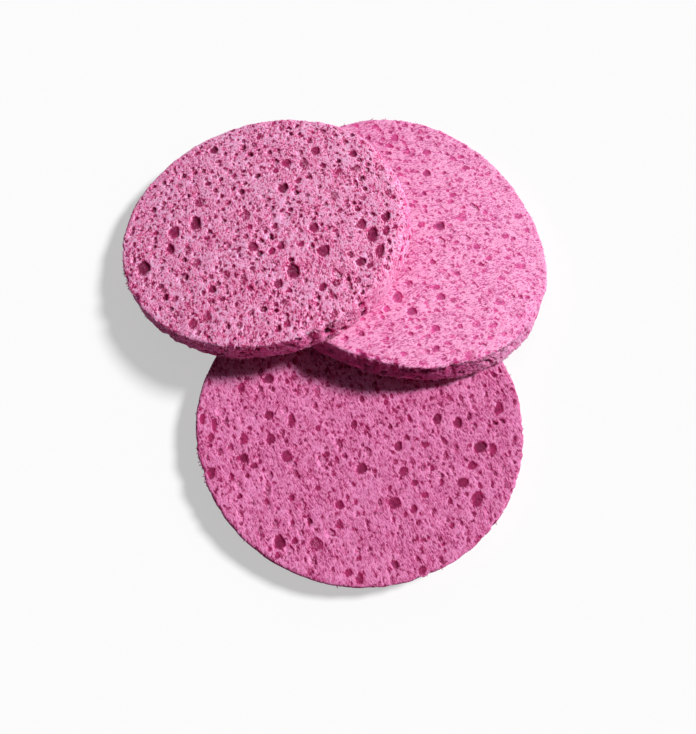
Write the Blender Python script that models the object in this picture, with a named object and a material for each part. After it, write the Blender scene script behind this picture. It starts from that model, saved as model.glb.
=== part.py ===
"""Three round facial cleansing sponges of expanded cellulose, lying loosely on one another.

The bottom sponge lies flat on the table. The right sponge leans on the far side of the bottom one, with its
own far rim on the table. The left sponge lies across the right one, with its outer rim on the table.
Metres, +Z up, +Y away from the viewer. The origin is the centre of the bottom sponge's underside.
"""

import math
from dataclasses import dataclass

import bmesh
import bpy
from mathutils import Matrix, Vector

# The sheet that the sponges are cut from
SHEET_THICKNESS = 0.0055
EDGE_ROUNDING = 0.0005
SEAT_GAP = 0.0003

# Each sponge's own radius
BOTTOM_RADIUS = 0.0400
RIGHT_RADIUS = 0.0414
LEFT_RADIUS = 0.0377

# How far the centres of the two leaning sponges lie from the centre of the bottom one, seen from above
RIGHT_SHIFT_ACROSS = 0.0001
RIGHT_SHIFT_AWAY = 0.0520
LEFT_SHIFT_ACROSS = -0.0363
LEFT_SHIFT_AWAY = 0.0426

# How far the damp sponges have bent at the rim, out of the plane of their middle
RIGHT_SIDE_DROOP = 0.0032
RIGHT_END_RISE = 0.0021
RIGHT_TWIST = -0.0021
LEFT_SIDE_DROOP = 0.0015
LEFT_END_RISE = -0.0011
LEFT_TWIST = 0.0002

# How much further than its radius each sponge reaches in the direction in which it is longest
BOTTOM_OVAL = 0.00042
RIGHT_OVAL = 0.00056
LEFT_OVAL = 0.00022

# How much further out the lower rim lies than the upper one, where the wall was cut on a slight slant
BOTTOM_FLARE = -0.0009
RIGHT_FLARE = 0.0005
LEFT_FLARE = 0.0002

# The compass direction in which each leaning sponge rises, in degrees counted from +X
RIGHT_RISES_TOWARDS = 249.3
LEFT_RISES_TOWARDS = 357.0

# The direction in which each sponge is longest, in degrees counted from its own across axis
BOTTOM_LONGEST_TOWARDS = 47
RIGHT_LONGEST_TOWARDS = -54
LEFT_LONGEST_TOWARDS = 30

# The foam: its three shades, its roughness, and the angle in degrees over which an edge is shaded sharp
BOTTOM_COLOUR = (0.76, 0.17, 0.41)
RIGHT_COLOUR = (0.86, 0.25, 0.52)
LEFT_COLOUR = (0.80, 0.22, 0.46)
FOAM_ROUGHNESS = 0.95
SHARP_ANGLE = 40

# Mesh counts
SIDES = 40
RINGS = 3
EDGE_STEPS = 3
BALL_STEPS = 2
CONTACT_RINGS = 12
CONTACT_SIDES = 60
CONTACT_HALVINGS = 40
STEEPEST_SLOPE = 0.8

# Points closer than this are one point, which is far below any size of the sponges
MERGE_DISTANCE = 0.000001

# The largest open cells of each upper face, in shares of that sponge's radius: place across, place away,
# half length, half width, and the turn of the length in degrees from +X
BOTTOM_CELL_SHARES = [
    (0.76, -0.34, 0.054, 0.034, 93),
    (-0.11, -0.81, 0.044, 0.036, 103),
    (0.73, -0.01, 0.042, 0.037, 62),
    (0.28, -0.48, 0.041, 0.035, 92),
    (-0.31, -0.84, 0.044, 0.030, 105),
    (0.81, 0.27, 0.048, 0.025, 93),
    (0.05, -0.32, 0.035, 0.033, 74),
    (-0.39, -0.35, 0.039, 0.029, 104),
    (0.57, 0.11, 0.042, 0.025, 94),
    (0.42, 0.10, 0.042, 0.025, 96),
    (-0.63, 0.10, 0.034, 0.031, 105),
    (-0.42, -0.13, 0.047, 0.021, 104),
    (-0.66, -0.31, 0.040, 0.023, 106),
    (0.30, -0.28, 0.034, 0.027, 92),
    (-0.78, -0.55, 0.037, 0.023, 108),
    (0.51, -0.82, 0.031, 0.023, 95),
    (-0.03, -0.56, 0.026, 0.026, 68),
    (-0.85, -0.20, 0.044, 0.018, 107),
]
RIGHT_CELL_SHARES = [
    (0.21, 0.16, 0.043, 0.035, 55),
    (0.53, -0.80, 0.042, 0.032, 72),
    (0.03, -0.50, 0.044, 0.030, 92),
    (0.35, 0.29, 0.042, 0.031, 76),
    (0.67, -0.32, 0.042, 0.028, 37),
    (0.79, 0.03, 0.051, 0.022, 27),
    (0.75, 0.47, 0.041, 0.026, 41),
    (0.15, -0.60, 0.035, 0.028, 35),
    (-0.22, 0.82, 0.034, 0.027, 88),
    (-0.10, 0.70, 0.034, 0.027, 86),
    (0.05, 0.56, 0.032, 0.027, 53),
    (0.29, -0.41, 0.030, 0.024, 44),
    (0.53, -0.54, 0.031, 0.023, 72),
    (0.67, 0.25, 0.031, 0.022, 47),
    (0.29, -0.72, 0.030, 0.023, 78),
    (0.50, 0.05, 0.028, 0.019, 45),
]
LEFT_CELL_SHARES = [
    (-0.72, -0.48, 0.067, 0.041, 120),
    (0.32, -0.40, 0.067, 0.039, 106),
    (-0.47, -0.08, 0.069, 0.035, 113),
    (-0.60, -0.17, 0.060, 0.038, 120),
    (0.77, -0.04, 0.070, 0.033, 101),
    (0.16, 0.53, 0.065, 0.032, 106),
    (0.48, -0.21, 0.047, 0.043, 130),
    (-0.51, 0.14, 0.050, 0.035, 124),
    (-0.13, 0.02, 0.055, 0.031, 111),
    (0.07, 0.29, 0.048, 0.035, 114),
    (0.21, 0.70, 0.047, 0.032, 110),
    (0.00, -0.24, 0.043, 0.033, 120),
    (-0.15, -0.81, 0.052, 0.026, 110),
    (-0.57, 0.63, 0.046, 0.030, 121),
    (0.37, -0.03, 0.040, 0.032, 111),
    (-0.35, -0.41, 0.042, 0.027, 116),
    (0.53, 0.53, 0.036, 0.032, 174),
    (0.62, -0.47, 0.038, 0.023, 103),
]

# Open cells of every underside, as above, and of every wall: share of a turn, share of the thickness up from
# the middle, and half length and half height in shares of the thickness
UNDERSIDE_CELL_SHARES = [
    (0.62, 0.18, 0.046, 0.034, 30),
    (-0.35, 0.66, 0.040, 0.031, 75),
    (-0.70, -0.12, 0.050, 0.032, 140),
    (0.28, -0.61, 0.043, 0.035, 15),
    (-0.30, -0.44, 0.038, 0.030, 100),
    (0.40, 0.62, 0.036, 0.028, 60),
]
WALL_CELL_SHARES = [
    (0.04, 0.05, 0.26, 0.14),
    (0.19, -0.08, 0.20, 0.15),
    (0.37, 0.10, 0.24, 0.13),
    (0.58, 0.00, 0.22, 0.15),
    (0.71, -0.10, 0.28, 0.12),
    (0.88, 0.06, 0.20, 0.15),
]

# Crumbled places on the lower rim: share of a turn, half length and half depth in shares of the thickness
BOTTOM_CRUMB_SHARES = [(0.30, 0.30, 0.16), (0.66, 0.34, 0.18)]
RIGHT_CRUMB_SHARES = [(0.81, 0.46, 0.22), (0.69, 0.30, 0.18)]
LEFT_CRUMB_SHARES = [(0.78, 0.34, 0.24), (0.61, 0.28, 0.16)]


@dataclass
class Lay:
    """How one sponge lies: its size, bend and rising direction, and its slope and height once found."""

    radius: float
    across: float
    away: float
    rises_towards: float
    side_droop: float
    end_rise: float
    twist: float
    oval: float
    longest_towards: float
    flare: float
    slope: float = 0.0
    height: float = SHEET_THICKNESS / 2


def bend(lay, across, away):
    """How far the middle layer of a sponge lies above its own plane, at a place given in its own axes."""
    side = across / lay.radius
    end = away / lay.radius
    return lay.end_rise * end**2 - lay.side_droop * side**2 + lay.twist * side * end


def rim_share(lay, turn):
    """How far the rim lies from the middle in one direction, as a share of the radius."""
    return 1 + lay.oval / lay.radius * math.cos(2 * (turn - math.radians(lay.longest_towards)))


def axes_of(lay, slope):
    """The sponge's own axes in space: across, away and out of its upper face."""
    heading = math.radians(lay.rises_towards)
    rise_across = slope * math.cos(heading)
    rise_away = slope * math.sin(heading)
    out = Vector((-rise_across, -rise_away, 1)).normalized()
    across = Vector((1, 0, rise_across)).normalized()
    return across, out.cross(across), out


def surface_point(lay, slope, height, across, away, side):
    """A point of the upper face (side 1) or of the underside (side -1), in space."""
    along_across, along_away, out = axes_of(lay, slope)
    centre = Vector((lay.across, lay.away, height))
    raised = bend(lay, across, away) + side * SHEET_THICKNESS / 2
    return centre + along_across * across + along_away * away + out * raised


def contact_places(lay):
    """Places spread over a sponge's underside, out to its rim."""
    for step in range(CONTACT_SIDES):
        turn = math.tau * step / CONTACT_SIDES
        rim = lay.radius * rim_share(lay, turn) + lay.flare
        for ring in range(1, CONTACT_RINGS + 1):
            reach = rim * ring / CONTACT_RINGS
            yield reach * math.cos(turn), reach * math.sin(turn)


def top_above(lay, point):
    """The height of a lying sponge's upper face under or over a point, or None past its rim."""
    along_across, along_away, out = axes_of(lay, lay.slope)
    middle = Vector((lay.across, lay.away, lay.height)) + out * (SHEET_THICKNESS / 2)
    plane_height = middle.z - (out.x * (point.x - middle.x) + out.y * (point.y - middle.y)) / out.z
    offset = Vector((point.x, point.y, plane_height)) - middle
    across = offset.dot(along_across)
    away = offset.dot(along_away)
    if math.hypot(across, away) > lay.radius * rim_share(lay, math.atan2(away, across)) + SEAT_GAP:
        return None
    return plane_height + bend(lay, across, away) / out.z


def height_on_table(lay, slope):
    """The centre height at which the lowest point of the rim is at the seat gap over the table."""
    points = [surface_point(lay, slope, 0, across, away, -1) for across, away in contact_places(lay)]
    return SEAT_GAP - min(point.z for point in points)


def height_on_sponges(lay, slope, below):
    """The centre height at which the underside just clears every sponge below."""
    needed = 0
    for across, away in contact_places(lay):
        point = surface_point(lay, slope, 0, across, away, -1)
        for other in below:
            top = top_above(other, point)
            if top is not None:
                needed = max(needed, top + SEAT_GAP - point.z)
    return needed


def lean(lay, below):
    """Finds the slope at which a sponge rests both on the table and on the sponges below it."""
    flattest = 0
    steepest = STEEPEST_SLOPE
    for _ in range(CONTACT_HALVINGS):
        slope = (flattest + steepest) / 2
        if height_on_sponges(lay, slope, below) > height_on_table(lay, slope):
            flattest = slope
        else:
            steepest = slope
    lay.slope = steepest
    lay.height = max(height_on_sponges(lay, steepest, below), height_on_table(lay, steepest))


def half_section(radius, flare):
    """The outline from the middle of the upper face over the rim to the middle of the underside."""
    half = SHEET_THICKNESS / 2
    rounding = min(EDGE_ROUNDING, half)
    flat = radius - rounding
    face = [(flat * ring / RINGS, half) for ring in range(RINGS)]
    rim = []
    for step in range(EDGE_STEPS + 1):
        turn = math.pi / 2 * step / EDGE_STEPS
        rim.append((flat + rounding * math.sin(turn), half - rounding + rounding * math.cos(turn)))
    lower_rim = [(reach + flare, -height) for reach, height in reversed(rim)]
    return face + rim + lower_rim + [(reach, -height) for reach, height in reversed(face)]


def sponge_mesh(name, lay):
    """The half section spun round the middle, stretched a little oval, then bent as the sponge lies."""
    mesh_maker = bmesh.new()
    section = half_section(lay.radius, lay.flare)
    corners = [mesh_maker.verts.new((reach, 0, height)) for reach, height in section]
    edges = [mesh_maker.edges.new(pair) for pair in zip(corners, corners[1:])]
    bmesh.ops.spin(
        mesh_maker,
        geom=corners + edges,
        axis=(0, 0, 1),
        cent=(0, 0, 0),
        angle=math.tau,
        steps=SIDES,
        use_merge=True,
    )
    bmesh.ops.remove_doubles(mesh_maker, verts=mesh_maker.verts[:], dist=MERGE_DISTANCE)
    bmesh.ops.recalc_face_normals(mesh_maker, faces=mesh_maker.faces[:])
    for corner in mesh_maker.verts:
        share = rim_share(lay, math.atan2(corner.co.y, corner.co.x))
        corner.co.x *= share
        corner.co.y *= share
        corner.co.z += bend(lay, corner.co.x, corner.co.y)
    mesh = bpy.data.meshes.new(name)
    mesh_maker.to_mesh(mesh)
    mesh_maker.free()
    return mesh


def placed_ball(place, turn, size):
    """The transform of a unit ball that is stretched to a size, turned about +Z and placed."""
    return Matrix.Translation(place) @ Matrix.Rotation(turn, 4, "Z") @ Matrix.Diagonal(size).to_4x4()


def face_cell(lay, shares, side):
    """The place, size and turn of one bubble that a face cuts open at its widest."""
    across_share, away_share, length_share, width_share, turn = shares
    across = across_share * lay.radius
    away = away_share * lay.radius
    width = width_share * lay.radius
    place = Vector((across, away, bend(lay, across, away) + side * SHEET_THICKNESS / 2))
    size = Vector((length_share * lay.radius, width, width))
    return placed_ball(place, math.radians(turn), size)


def rim_place(lay, turn, down):
    """A place on the wall in the sponge's own axes, at a share of the way down from its upper rim."""
    reach = lay.radius * rim_share(lay, turn) + lay.flare * down
    return reach * math.cos(turn), reach * math.sin(turn)


def wall_cell(lay, shares):
    """The same for a bubble that the wall cuts open."""
    turn_share, height_share, length_share, width_share = shares
    turn = math.tau * turn_share
    across, away = rim_place(lay, turn, 1 / 2 - height_share)
    width = width_share * SHEET_THICKNESS
    place = Vector((across, away, bend(lay, across, away) + height_share * SHEET_THICKNESS))
    size = Vector((width, length_share * SHEET_THICKNESS, width))
    return placed_ball(place, turn, size)


def crumb(lay, shares):
    """The same for a place where the lower rim has crumbled away."""
    turn_share, length_share, depth_share = shares
    turn = math.tau * turn_share
    across, away = rim_place(lay, turn, 1)
    depth = depth_share * SHEET_THICKNESS
    place = Vector((across, away, bend(lay, across, away) - SHEET_THICKNESS / 2))
    size = Vector((depth, length_share * SHEET_THICKNESS, depth))
    return placed_ball(place, turn, size)


def cutter_mesh(name, shapes):
    """One unit ball for each open cell or crumbled place, stretched and placed."""
    mesh_maker = bmesh.new()
    for shape in shapes:
        bmesh.ops.create_icosphere(mesh_maker, subdivisions=BALL_STEPS, radius=1, matrix=shape)
    mesh = bpy.data.meshes.new(name)
    mesh_maker.to_mesh(mesh)
    mesh_maker.free()
    return mesh


def foam(name, colour):
    """Matt cellulose foam in one of the three shades of pink."""
    material = bpy.data.materials.new(name)
    material.use_nodes = True
    shader = material.node_tree.nodes["Principled BSDF"]
    shader.inputs["Base Color"].default_value = (*colour, 1)
    shader.inputs["Roughness"].default_value = FOAM_ROUGHNESS
    shader.inputs["Metallic"].default_value = 0
    material.diffuse_color = (*colour, 1)
    return material


def add_sponge(name, lay, cell_shares, crumb_shares, colour):
    """One sponge as it lies, with its largest cells cut open."""
    mesh = sponge_mesh(name, lay)
    mesh.materials.append(foam(name + "_foam", colour))
    sponge = bpy.data.objects.new(name, mesh)
    bpy.context.scene.collection.objects.link(sponge)

    shapes = [face_cell(lay, shares, 1) for shares in cell_shares]
    shapes += [face_cell(lay, shares, -1) for shares in UNDERSIDE_CELL_SHARES]
    shapes += [wall_cell(lay, shares) for shares in WALL_CELL_SHARES]
    shapes += [crumb(lay, shares) for shares in crumb_shares]
    cutter = bpy.data.objects.new(name + "_cells", cutter_mesh(name + "_cells", shapes))
    bpy.context.scene.collection.objects.link(cutter)
    cutter.hide_render = True
    cutter.display_type = "WIRE"
    cutter.parent = sponge

    cut = sponge.modifiers.new("open_cells", "BOOLEAN")
    cut.operation = "DIFFERENCE"
    cut.object = cutter
    cut.use_self = True

    across, away, out = axes_of(lay, lay.slope)
    turned = Matrix((across, away, out)).transposed().to_4x4()
    sponge.matrix_world = Matrix.Translation((lay.across, lay.away, lay.height)) @ turned
    mesh.shade_smooth()
    mesh.set_sharp_from_angle(angle=math.radians(SHARP_ANGLE))
    return sponge


def main():
    for old in list(bpy.data.objects):
        bpy.data.objects.remove(old)

    bottom = Lay(BOTTOM_RADIUS, 0, 0, 0, 0, 0, 0, BOTTOM_OVAL, BOTTOM_LONGEST_TOWARDS, BOTTOM_FLARE)
    right = Lay(
        RIGHT_RADIUS,
        RIGHT_SHIFT_ACROSS,
        RIGHT_SHIFT_AWAY,
        RIGHT_RISES_TOWARDS,
        RIGHT_SIDE_DROOP,
        RIGHT_END_RISE,
        RIGHT_TWIST,
        RIGHT_OVAL,
        RIGHT_LONGEST_TOWARDS,
        RIGHT_FLARE,
    )
    left = Lay(
        LEFT_RADIUS,
        LEFT_SHIFT_ACROSS,
        LEFT_SHIFT_AWAY,
        LEFT_RISES_TOWARDS,
        LEFT_SIDE_DROOP,
        LEFT_END_RISE,
        LEFT_TWIST,
        LEFT_OVAL,
        LEFT_LONGEST_TOWARDS,
        LEFT_FLARE,
    )
    lean(right, [bottom])
    lean(left, [bottom, right])
    print("right sponge: slope", round(right.slope, 4), "centre height", round(right.height, 5))
    print("left sponge: slope", round(left.slope, 4), "centre height", round(left.height, 5))

    add_sponge("bottom_sponge", bottom, BOTTOM_CELL_SHARES, BOTTOM_CRUMB_SHARES, BOTTOM_COLOUR)
    add_sponge("right_sponge", right, RIGHT_CELL_SHARES, RIGHT_CRUMB_SHARES, RIGHT_COLOUR)
    add_sponge("left_sponge", left, LEFT_CELL_SHARES, LEFT_CRUMB_SHARES, LEFT_COLOUR)


main()
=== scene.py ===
"""The looks of three round cellulose face sponges: open-celled foam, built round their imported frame."""

import math

import bpy
import numpy as np
from mathutils import Matrix, Vector
from mathutils.geometry import delaunay_2d_cdt
from mathutils.kdtree import KDTree


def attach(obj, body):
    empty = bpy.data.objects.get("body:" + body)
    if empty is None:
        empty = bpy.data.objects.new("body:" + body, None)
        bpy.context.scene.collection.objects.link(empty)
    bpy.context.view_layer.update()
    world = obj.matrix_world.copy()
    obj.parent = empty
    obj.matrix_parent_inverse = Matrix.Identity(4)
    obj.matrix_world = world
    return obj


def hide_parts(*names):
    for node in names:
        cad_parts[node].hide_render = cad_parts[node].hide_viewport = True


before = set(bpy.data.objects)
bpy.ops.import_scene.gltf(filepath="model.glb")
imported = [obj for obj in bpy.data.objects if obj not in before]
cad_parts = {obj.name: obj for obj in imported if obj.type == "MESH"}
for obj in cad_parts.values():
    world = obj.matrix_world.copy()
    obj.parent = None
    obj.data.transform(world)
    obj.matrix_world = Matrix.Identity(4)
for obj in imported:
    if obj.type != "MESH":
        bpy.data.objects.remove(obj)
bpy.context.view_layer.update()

MM = 0.001

# Camera, fitted to the outlines of the three sponges in the photograph. The focal length is in pixels, of
# which the photograph is 696 wide, and the two turns are in radians.
PHOTO_WIDTH = 696
FOCAL_PIXELS = 695.25
CAMERA_PLACE = Vector((-6.602, -64.537, 162.717)) * MM
CAMERA_DOWN = 1.1156
CAMERA_ROLL = 0.2348

# The light: how much falls on a level face, where 1 shows a colour as it is written, the share of it that
# comes from all round, and the key lamp's height, heading and width in degrees
LEVEL = 1.1
SKY = 0.08
KEY_HEIGHT = 42
KEY_HEADING = 30
KEY_WIDTH = 13

# The floor: the grey of what it throws back on the sponges, the grey that shows, the white of the backdrop,
# and the share of that white in the floor
FLOOR_THROWN = 0.4
FLOOR_SEEN = 0.88
BACKDROP = 0.97
BACKDROP_SHARE = 0.5

# The sheet of foam, in metres
THICKNESS = 5.5 * MM
ROUNDING = 0.5 * MM

# How each sponge lies: radius, centre, slope and the direction it rises in, droop of its sides, rise of its
# ends, twist, how oval it is and in which direction it is longest, and how far its lower rim lies outside its
# upper one. Directions are in degrees.
LAYS = {
    "bottom": (
        40.0 * MM, (0, 0, THICKNESS / 2), 0, 0, 0, 0, 0,
        0.42 * MM, 47, -0.9 * MM,
    ),
    "right": (
        41.4 * MM, (0.1 * MM, 52.0 * MM, 8.03 * MM), 0.0648, 249.3, 3.2 * MM, 2.1 * MM, -2.1 * MM,
        0.56 * MM, -54, 0.5 * MM,
    ),
    "left": (
        37.7 * MM, (-36.3 * MM, 42.6 * MM, 13.55 * MM), 0.2469, 357.0, 1.5 * MM, -1.1 * MM, 0.2 * MM,
        0.22 * MM, 30, 0.2 * MM,
    ),
}

# The largest open cells in the photograph, in shares of the radius: place across, place away, half length and
# half width, then the turn of the length in degrees
CELL_SHARES = {
    "left": [
        (-0.72, -0.48, 0.067, 0.041, 120),
        (0.32, -0.40, 0.067, 0.039, 106),
        (-0.47, -0.08, 0.069, 0.035, 113),
        (-0.60, -0.17, 0.060, 0.038, 120),
        (0.77, -0.04, 0.070, 0.033, 101),
        (0.16, 0.53, 0.065, 0.032, 106),
        (0.48, -0.21, 0.047, 0.043, 130),
        (0.85, -0.16, 0.056, 0.033, 100),
        (-0.51, 0.11, 0.050, 0.035, 124),
        (-0.13, 0.02, 0.055, 0.031, 111),
        (0.07, 0.29, 0.048, 0.035, 114),
        (0.21, 0.67, 0.047, 0.032, 110),
        (0.03, 0.53, 0.046, 0.032, 113),
        (0.83, 0.13, 0.043, 0.033, 101),
        (0.00, -0.24, 0.043, 0.033, 120),
        (0.68, 0.04, 0.042, 0.033, 104),
        (-0.15, -0.81, 0.052, 0.026, 110),
        (-0.57, 0.63, 0.046, 0.030, 121),
        (0.37, -0.03, 0.040, 0.032, 111),
        (-0.58, -0.31, 0.049, 0.026, 115),
        (0.74, -0.26, 0.038, 0.031, 104),
        (0.86, 0.01, 0.047, 0.024, 100),
        (-0.35, -0.41, 0.042, 0.027, 116),
        (0.25, -0.51, 0.044, 0.026, 107),
        (0.53, 0.53, 0.036, 0.032, 174),
        (0.44, 0.26, 0.038, 0.029, 108),
        (0.42, 0.48, 0.039, 0.028, 107),
        (-0.23, -0.87, 0.041, 0.026, 114),
        (0.01, -0.51, 0.043, 0.024, 109),
        (-0.12, -0.48, 0.040, 0.025, 112),
        (-0.45, -0.31, 0.043, 0.023, 113),
        (0.81, 0.34, 0.036, 0.027, 101),
        (0.49, 0.67, 0.037, 0.026, 106),
        (0.72, 0.56, 0.032, 0.029, 1),
        (0.19, -0.21, 0.037, 0.023, 109),
        (-0.18, -0.60, 0.032, 0.026, 127),
        (0.38, -0.79, 0.036, 0.023, 107),
        (0.67, -0.68, 0.036, 0.023, 103),
        (0.62, -0.45, 0.038, 0.021, 103),
        (0.54, -0.49, 0.030, 0.026, 111),
        (-0.11, 0.90, 0.034, 0.022, 113),
        (-0.25, 0.79, 0.034, 0.022, 116),
        (0.81, -0.28, 0.029, 0.024, 102),
        (0.14, -0.26, 0.029, 0.023, 118),
        (0.32, -0.64, 0.028, 0.023, 118),
        (0.10, -0.05, 0.029, 0.022, 116),
        (-0.03, 0.45, 0.030, 0.021, 115),
        (0.76, -0.41, 0.030, 0.019, 102),
    ],
    "right": [
        (0.21, 0.16, 0.043, 0.035, 55),
        (0.53, -0.80, 0.042, 0.032, 72),
        (0.03, -0.50, 0.044, 0.030, 92),
        (0.35, 0.29, 0.042, 0.031, 76),
        (0.67, -0.32, 0.042, 0.028, 37),
        (0.79, 0.03, 0.051, 0.022, 27),
        (0.75, 0.47, 0.041, 0.026, 41),
        (0.13, -0.58, 0.035, 0.028, 35),
        (-0.22, 0.80, 0.034, 0.027, 88),
        (-0.12, 0.71, 0.034, 0.027, 86),
        (0.05, 0.58, 0.032, 0.027, 53),
        (0.02, 0.76, 0.032, 0.025, 41),
        (0.29, -0.41, 0.030, 0.024, 44),
        (0.53, -0.54, 0.031, 0.023, 72),
        (0.64, -0.62, 0.033, 0.021, 82),
        (0.67, 0.25, 0.031, 0.022, 47),
        (0.29, -0.66, 0.030, 0.023, 78),
        (0.26, 0.46, 0.027, 0.021, 53),
        (0.73, -0.57, 0.028, 0.020, 68),
        (-0.02, -0.61, 0.026, 0.021, 87),
        (0.48, 0.08, 0.026, 0.020, 54),
        (0.57, 0.01, 0.028, 0.018, 33),
        (0.31, -0.81, 0.025, 0.020, 47),
        (0.67, -0.12, 0.031, 0.016, 27),
        (0.37, -0.41, 0.025, 0.019, 76),
    ],
    "bottom": [
        (0.76, -0.34, 0.054, 0.034, 93),
        (-0.11, -0.81, 0.044, 0.036, 103),
        (0.73, -0.01, 0.042, 0.037, 62),
        (0.28, -0.48, 0.041, 0.035, 92),
        (-0.31, -0.84, 0.044, 0.030, 105),
        (0.81, 0.27, 0.048, 0.025, 93),
        (0.66, -0.26, 0.036, 0.033, 57),
        (0.05, -0.32, 0.035, 0.033, 74),
        (-0.39, -0.35, 0.039, 0.029, 104),
        (0.57, 0.11, 0.042, 0.025, 94),
        (0.44, 0.10, 0.042, 0.025, 96),
        (-0.63, 0.10, 0.034, 0.031, 105),
        (0.81, -0.01, 0.047, 0.022, 94),
        (-0.42, -0.13, 0.047, 0.021, 104),
        (-0.66, -0.31, 0.040, 0.023, 106),
        (0.30, -0.28, 0.034, 0.027, 92),
        (-0.51, -0.27, 0.036, 0.024, 105),
        (-0.78, -0.55, 0.037, 0.023, 108),
        (0.70, -0.14, 0.030, 0.027, 60),
        (-0.56, -0.13, 0.032, 0.024, 105),
        (0.24, -0.13, 0.032, 0.024, 94),
        (0.17, -0.94, 0.034, 0.022, 100),
        (-0.77, 0.00, 0.035, 0.021, 106),
        (-0.63, -0.42, 0.028, 0.026, 119),
        (-0.85, -0.27, 0.044, 0.016, 107),
        (0.51, -0.82, 0.031, 0.023, 95),
        (-0.03, -0.56, 0.026, 0.026, 68),
        (-0.93, -0.25, 0.041, 0.016, 107),
        (-0.05, -0.06, 0.030, 0.019, 100),
        (-0.48, 0.15, 0.024, 0.022, 100),
        (0.40, -0.49, 0.027, 0.019, 96),
        (0.40, -0.08, 0.023, 0.021, 68),
        (0.10, -0.92, 0.022, 0.021, 25),
        (0.38, -0.33, 0.022, 0.020, 61),
        (0.45, -0.39, 0.022, 0.020, 57),
        (-0.56, -0.45, 0.021, 0.020, 119),
        (-0.17, -0.28, 0.021, 0.020, 90),
    ],
}

# The cells in those lists that are shallow and get a lighter painted shade
FAINT_CELLS = {
    "left": (5, 8, 9, 16, 22, 24, 25, 26, 28, 29, 30, 31, 33, 36, 37, 38, 40, 41, 42, 44, 47),
    "right": (1, 3, 4, 5, 6, 9, 13, 14, 18, 23, 24),
    "bottom": (1, 29),
}

# What each sponge's foam is like.
# seed: of all its random draws. coarse: how uneven its cut face is, and how deep its cells are.
# medium, small: cells per square centimetre of a face. medium_mm: half widths of the medium ones, in mm.
# long: how much longer than wide cells get at most. turn: the direction of that length in degrees.
# drawn, flow: how much longer than wide the fine fibres' net is drawn, and in which direction.
# pale, middle, deep: the pink where a fibre stands out, between, and in the gaps, where it is deeper as
# painted shade. inside: the painted shade in the open cells.
# wall, lit: the tint of the painted shade on the walls turned from the key lamp, and how strongly the painted
# dimming of the walls in its light is used.
# contrast, pits: how far the net, and the pits in it, go from the middle pink.
# relief: how far the fibres stand out, in millimetres. ragged: how deep the cells on the wall are.
# worn: from which turn to which the upper rim is worn round, in degrees, and by how much.
FOAM = {
    "bottom": dict(
        seed=11, coarse=0.9, medium=12, small=45, medium_mm=(0.32, 0.80), long=2.2, turn=114,
        drawn=2.6, flow=128, contrast=1.15, pits=0.30, relief=0.024, ragged=0.45, worn=(-60, 60, 0),
        pale=(0.75, 0.275, 0.51), middle=(0.60, 0.138, 0.32), deep=(0.36, 0.028, 0.13),
        inside=(0.33, 0.017, 0.10), wall=(0.75, 0.36, 0.54), lit=1,
    ),
    "right": dict(
        seed=23, coarse=0.7, medium=14, small=50, medium_mm=(0.34, 0.90), long=1.9, turn=24,
        drawn=2.8, flow=42, contrast=1.4, pits=0.30, relief=0.008, ragged=1, worn=(-74, -4, 1.3 * MM),
        pale=(0.84, 0.38, 0.60), middle=(0.70, 0.235, 0.445), deep=(0.52, 0.075, 0.245),
        inside=(0.60, 0.07, 0.26), wall=(0.60, 0.24, 0.42), lit=0.5,
    ),
    "left": dict(
        seed=37, coarse=1.0, medium=13, small=55, medium_mm=(0.36, 0.90), long=1.45, turn=118,
        drawn=2.1, flow=116, contrast=1.5, pits=0.32, relief=0.018, ragged=1, worn=(-62, 60, 0.8 * MM),
        pale=(1.00, 0.50, 0.755), middle=(0.91, 0.20, 0.445), deep=(0.47, 0.020, 0.130),
        inside=(0.39, 0.015, 0.112), wall=(0.80, 0.42, 0.62), lit=1,
    ),
}

# Torn places on the upper rims: turn in degrees, half width and depth in metres
NICKS = {
    "bottom": [(-56, 0.9 * MM, 0.5 * MM), (-147, 0.8 * MM, 0.4 * MM)],
    "right": [
        (-96, 0.9 * MM, 2.2 * MM), (-91, 0.7 * MM, 1.5 * MM), (-85, 0.7 * MM, 1.0 * MM),
        (-64, 1.0 * MM, 1.0 * MM), (-57, 0.8 * MM, 0.2 * MM), (-50, 0.7 * MM, 0.1 * MM),
        (-43, 0.7 * MM, 0.2 * MM),
    ],
    "left": [
        (-134, 1.0 * MM, 0.9 * MM), (-146, 0.7 * MM, 0.5 * MM), (-87, 0.9 * MM, 0.5 * MM),
        (-76, 0.8 * MM, 0.5 * MM), (-57, 1.3 * MM, 0.8 * MM), (-50, 1.0 * MM, 0.7 * MM),
    ],
}

# Open cells that show on the walls: turn in degrees, then height over the middle of the wall, half length and
# half width in metres
WALL_CELLS = {
    "bottom": [],
    "right": [(-71, 0.9 * MM, 0.8 * MM, 0.4 * MM)],
    "left": [
        (-83, 0.0 * MM, 0.85 * MM, 0.65 * MM), (-89, 0.5 * MM, 0.75 * MM, 0.5 * MM),
        (-77, 0.9 * MM, 0.7 * MM, 0.45 * MM), (-73, -2.6 * MM, 0.9 * MM, 0.8 * MM),
        (-95, 0.3 * MM, 0.8 * MM, 0.5 * MM), (-103, 0.4 * MM, 1.2 * MM, 0.45 * MM),
    ],
}

# How many random cells are tried: broad dents for each square centimetre of a face, large ones on an
# underside, and plain and tiny ones for each millimetre round the wall
DENTS_PER_CM2 = 1.2
UNDER_TRIES = 40
WALL_TRIES_PER_MM = 0.8
WALL_TINY_PER_MM = 5

# Loose ends of fibres: how many stand on each sponge's rims, and half their thickness
FIBRE_COUNT = {"bottom": 120, "right": 600, "left": 400}
FIBRE_HALF = 0.10 * MM

# The headings, from the middle of an open cell, of its steep side and of its flank that is darkened with
# painted shade
STEEP_SIDE = math.radians(50)
SHADED_FLANK_SIDE = math.radians(38)
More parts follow.
